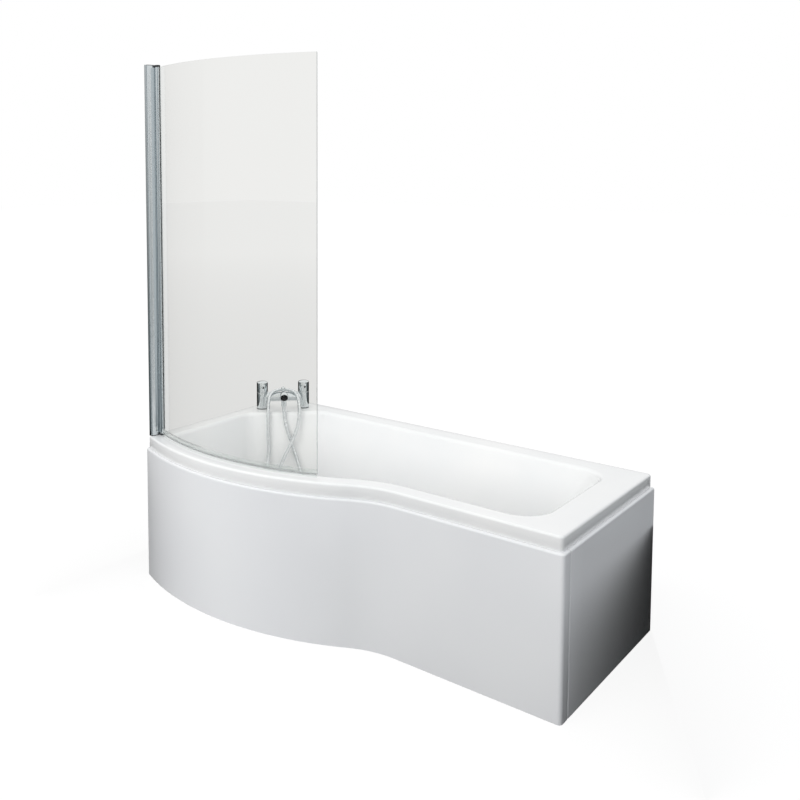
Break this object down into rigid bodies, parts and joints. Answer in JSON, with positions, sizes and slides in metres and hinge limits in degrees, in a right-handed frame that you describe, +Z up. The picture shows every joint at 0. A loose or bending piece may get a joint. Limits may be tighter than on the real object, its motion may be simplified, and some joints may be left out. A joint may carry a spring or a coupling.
{
  "type": "shower bath",
  "caption": "B-shaped acrylic shower bath on a leg frame, with clip-on panels, a curved glass screen on a wall hinge, a deck shower mixer with hose and handset, and a push-plug waste.",
  "frame": {"origin": "middle of the footprint (bounding box of rim, panels and wide front) on the floor", "axes": "+X from the tap end along the bath to the foot end, +Y from the open front towards the back wall, +Z up"},
  "size_m": [1.71, 0.8859, 1.99],
  "materials": {
    "acrylic": "gloss",
    "board": "raw",
    "zinc_steel": "zinc plated",
    "rubber": "matt",
    "chrome": "polished",
    "white_plastic": "satin",
    "black_plastic": "satin",
    "brass": "machined",
    "hose_metal": "wound, polished",
    "bright_aluminium": "polished",
    "clear_seal": "translucent",
    "glass": "clear toughened"
  },
  "bodies": {
    "bath": {"bath_shell": "acrylic", "baseboard": "board", "cradle_bars": "zinc_steel", "leg_rods": "zinc_steel", "leg_nuts": "zinc_steel", "leg_feet": "rubber", "wall_brackets": "zinc_steel", "front_panel": "acrylic", "end_panel": "acrylic", "panel_clips": "zinc_steel", "floor_battens": "board", "waste_flange": "chrome", "waste_washers": "rubber", "waste_nut": "white_plastic", "trap_body": "white_plastic", "trap_nut": "white_plastic", "outlet_union": "white_plastic", "overflow_face": "chrome", "overflow_elbow": "white_plastic", "overflow_seal": "rubber", "overflow_pipe": "white_plastic", "tap_body": "chrome", "hot_cartridge": "brass", "cold_cartridge": "brass", "spout": "chrome", "aerator": "black_plastic", "shower_outlet": "chrome", "outlet_nut": "chrome", "shower_hose": "hose_metal", "handset_nut": "chrome", "handset": "chrome", "spray_face": "rubber", "tap_tails": "brass", "tap_backnuts": "brass", "tap_washers": "white_plastic", "tap_gaskets": "rubber", "wall_channel": "bright_aluminium", "adjusting_profile": "bright_aluminium", "adjusting_screws": "zinc_steel", "top_pivot": "black_plastic", "bottom_pivot": "black_plastic", "profile_caps": "black_plastic"},
    "screen": {"hinge_profile": "bright_aluminium", "hinge_gasket": "clear_seal", "screen_glass": "glass", "screen_seal": "clear_seal"},
    "hot_control": {"hot_handle": "chrome", "hot_index": "black_plastic", "hot_spindle": "brass"},
    "cold_control": {"cold_handle": "chrome", "cold_index": "black_plastic", "cold_spindle": "brass"},
    "diverter": {"diverter_knob": "chrome", "diverter_valve": "rubber"},
    "plug": {"waste_plug": "chrome", "plug_seal": "rubber"}
  },
  "joints": [
    {"name": "screen_swing", "type": "hinge", "parent": "bath", "child": "screen", "pos_m": [-0.821, -0.30586, 0.555], "axis": [0, 0, 1], "range_deg": [-75, 65]},
    {"name": "hot_turn", "type": "hinge", "parent": "bath", "child": "hot_control", "pos_m": [-0.79664, 0.23436, 0.645], "axis": [0, 0, 1], "range_deg": [0, 90]},
    {"name": "cold_turn", "type": "hinge", "parent": "bath", "child": "cold_control", "pos_m": [-0.66936, 0.36164, 0.645], "axis": [0, 0, 1], "range_deg": [-90, 0]},
    {"name": "diverter_lift", "type": "slide", "parent": "bath", "child": "diverter", "axis": [0, 0, 1], "range_m": [0, 0.008]},
    {"name": "plug_lift", "type": "slide", "parent": "bath", "child": "plug", "axis": [0, 0, 1], "range_m": [0, 0.006]}
  ]
}
